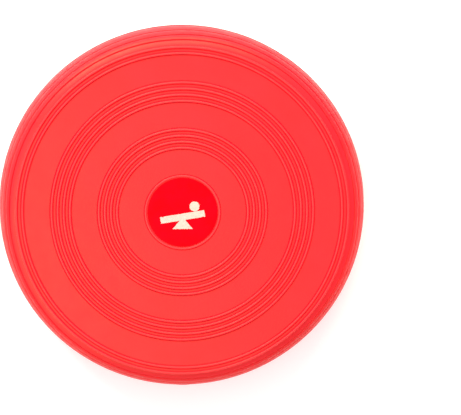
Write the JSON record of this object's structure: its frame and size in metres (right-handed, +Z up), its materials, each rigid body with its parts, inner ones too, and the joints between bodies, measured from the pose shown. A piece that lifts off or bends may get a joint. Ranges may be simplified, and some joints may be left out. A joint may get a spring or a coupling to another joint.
{
  "type": "balance pad",
  "caption": "Round inflatable balance pad with a ringed red upper face, a nubbed underside, a round centre label and a needle valve in its side wall.",
  "frame": {"origin": "centre of the underside, at the tips of the nubs", "axes": "+Z up, out of the ringed face; -Y towards the needle valve; the upper edge of the sign on the label points to +Y"},
  "size_m": [0.33, 0.3298, 0.06],
  "materials": {
    "red_skin": "satin",
    "red_label": "satin",
    "cream_print": "matte",
    "black_rubber": "satin"
  },
  "bodies": {
    "base": {"lower_shell": "red_skin"},
    "rim": {"seam_bead": "red_skin", "valve_neck": "red_skin", "valve_boot": "black_rubber", "valve_core": "black_rubber"},
    "face": {"upper_shell": "red_skin", "centre_label": "red_label", "label_print": "cream_print"}
  },
  "joints": [
    {"name": "press", "type": "slide", "parent": "base", "child": "rim", "axis": [0, 0, -1], "range_m": [0, 0.01], "stiffness_N_per_m": 60000, "deforming": ["lower_shell"]},
    {"name": "tilt", "type": "hinge", "parent": "rim", "child": "face", "pos_m": [0, 0, 0.03062], "axis": [0, 1, 0], "range_deg": [-5, 5], "stiffness_Nm_per_rad": 250, "deforming": ["upper_shell"]}
  ]
}
